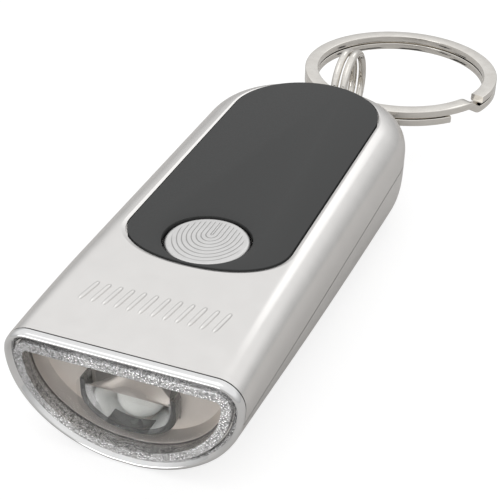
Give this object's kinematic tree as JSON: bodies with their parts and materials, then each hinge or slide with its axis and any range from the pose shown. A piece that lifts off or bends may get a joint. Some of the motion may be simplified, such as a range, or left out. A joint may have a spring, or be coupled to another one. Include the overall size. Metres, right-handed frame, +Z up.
{
  "type": "keychain flashlight",
  "caption": "Flat D-section keychain flashlight with a thumb button, a chrome-framed lens, a small split ring and a large key ring.",
  "frame": {"origin": "middle of the flat on the belly, which the light rests on", "axes": "+Z up through the button, -Y towards the lens, +Y towards the key ring"},
  "size_m": [0.0319, 0.0962, 0.0146],
  "materials": {
    "shell_silver": "satin plated plastic",
    "chrome": "polished",
    "lens_clear": "clear with a sparkling border",
    "gasket_black": "matte",
    "reflector_mirror": "metallised",
    "panel_charcoal": "matte",
    "button_satin": "satin with engraved ridges",
    "switch_black": "matte",
    "spring_steel": "bright",
    "led_epoxy": "milky clear",
    "board_green": "solder mask",
    "resistor_black": "matte",
    "cell_steel": "bright can",
    "cradle_black": "matte",
    "contact_nickel": "nickel plated",
    "screw_zinc": "zinc plated",
    "ring_nickel": "warm nickel plate"
  },
  "bodies": {
    "case": {"upper_shell": "shell_silver", "lower_shell": "shell_silver", "top_panel": "panel_charcoal", "front_bezel": "chrome", "lens": "lens_clear", "lens_gasket": "gasket_black", "reflector": "reflector_mirror", "switch_dome": "spring_steel", "switch_base": "switch_black", "led": "led_epoxy", "led_lead_left": "contact_nickel", "led_lead_right": "contact_nickel", "circuit_board": "board_green", "resistor": "resistor_black", "coin_cell_lower": "cell_steel", "coin_cell_upper": "cell_steel", "battery_cradle": "cradle_black", "positive_contact": "contact_nickel", "negative_contact": "contact_nickel", "case_screw_front": "screw_zinc", "case_screw_rear": "screw_zinc", "board_screw_left": "screw_zinc", "board_screw_right": "screw_zinc", "ring_bail": "spring_steel"},
    "button": {"button": "button_satin"},
    "small_ring": {"small_split_ring": "ring_nickel"},
    "key_ring": {"key_ring": "ring_nickel"}
  },
  "joints": [
    {"name": "button_press", "type": "slide", "parent": "case", "child": "button", "axis": [0, 0, -1], "range_m": [0, 0.0006], "stiffness_N_per_m": 1500, "springref_m": -0.0002, "deforming": ["switch_dome"]},
    {"name": "small_ring_swing", "type": "hinge", "parent": "case", "child": "small_ring", "pos_m": [0, 0.03625, 0.0086], "axis": [1, 0, 0], "range_deg": [-40, 40]},
    {"name": "key_ring_swing", "type": "hinge", "parent": "small_ring", "child": "key_ring", "pos_m": [0, 0.03805, 0.00726], "axis": [1, 0, 0], "range_deg": [-75, 75]}
  ]
}
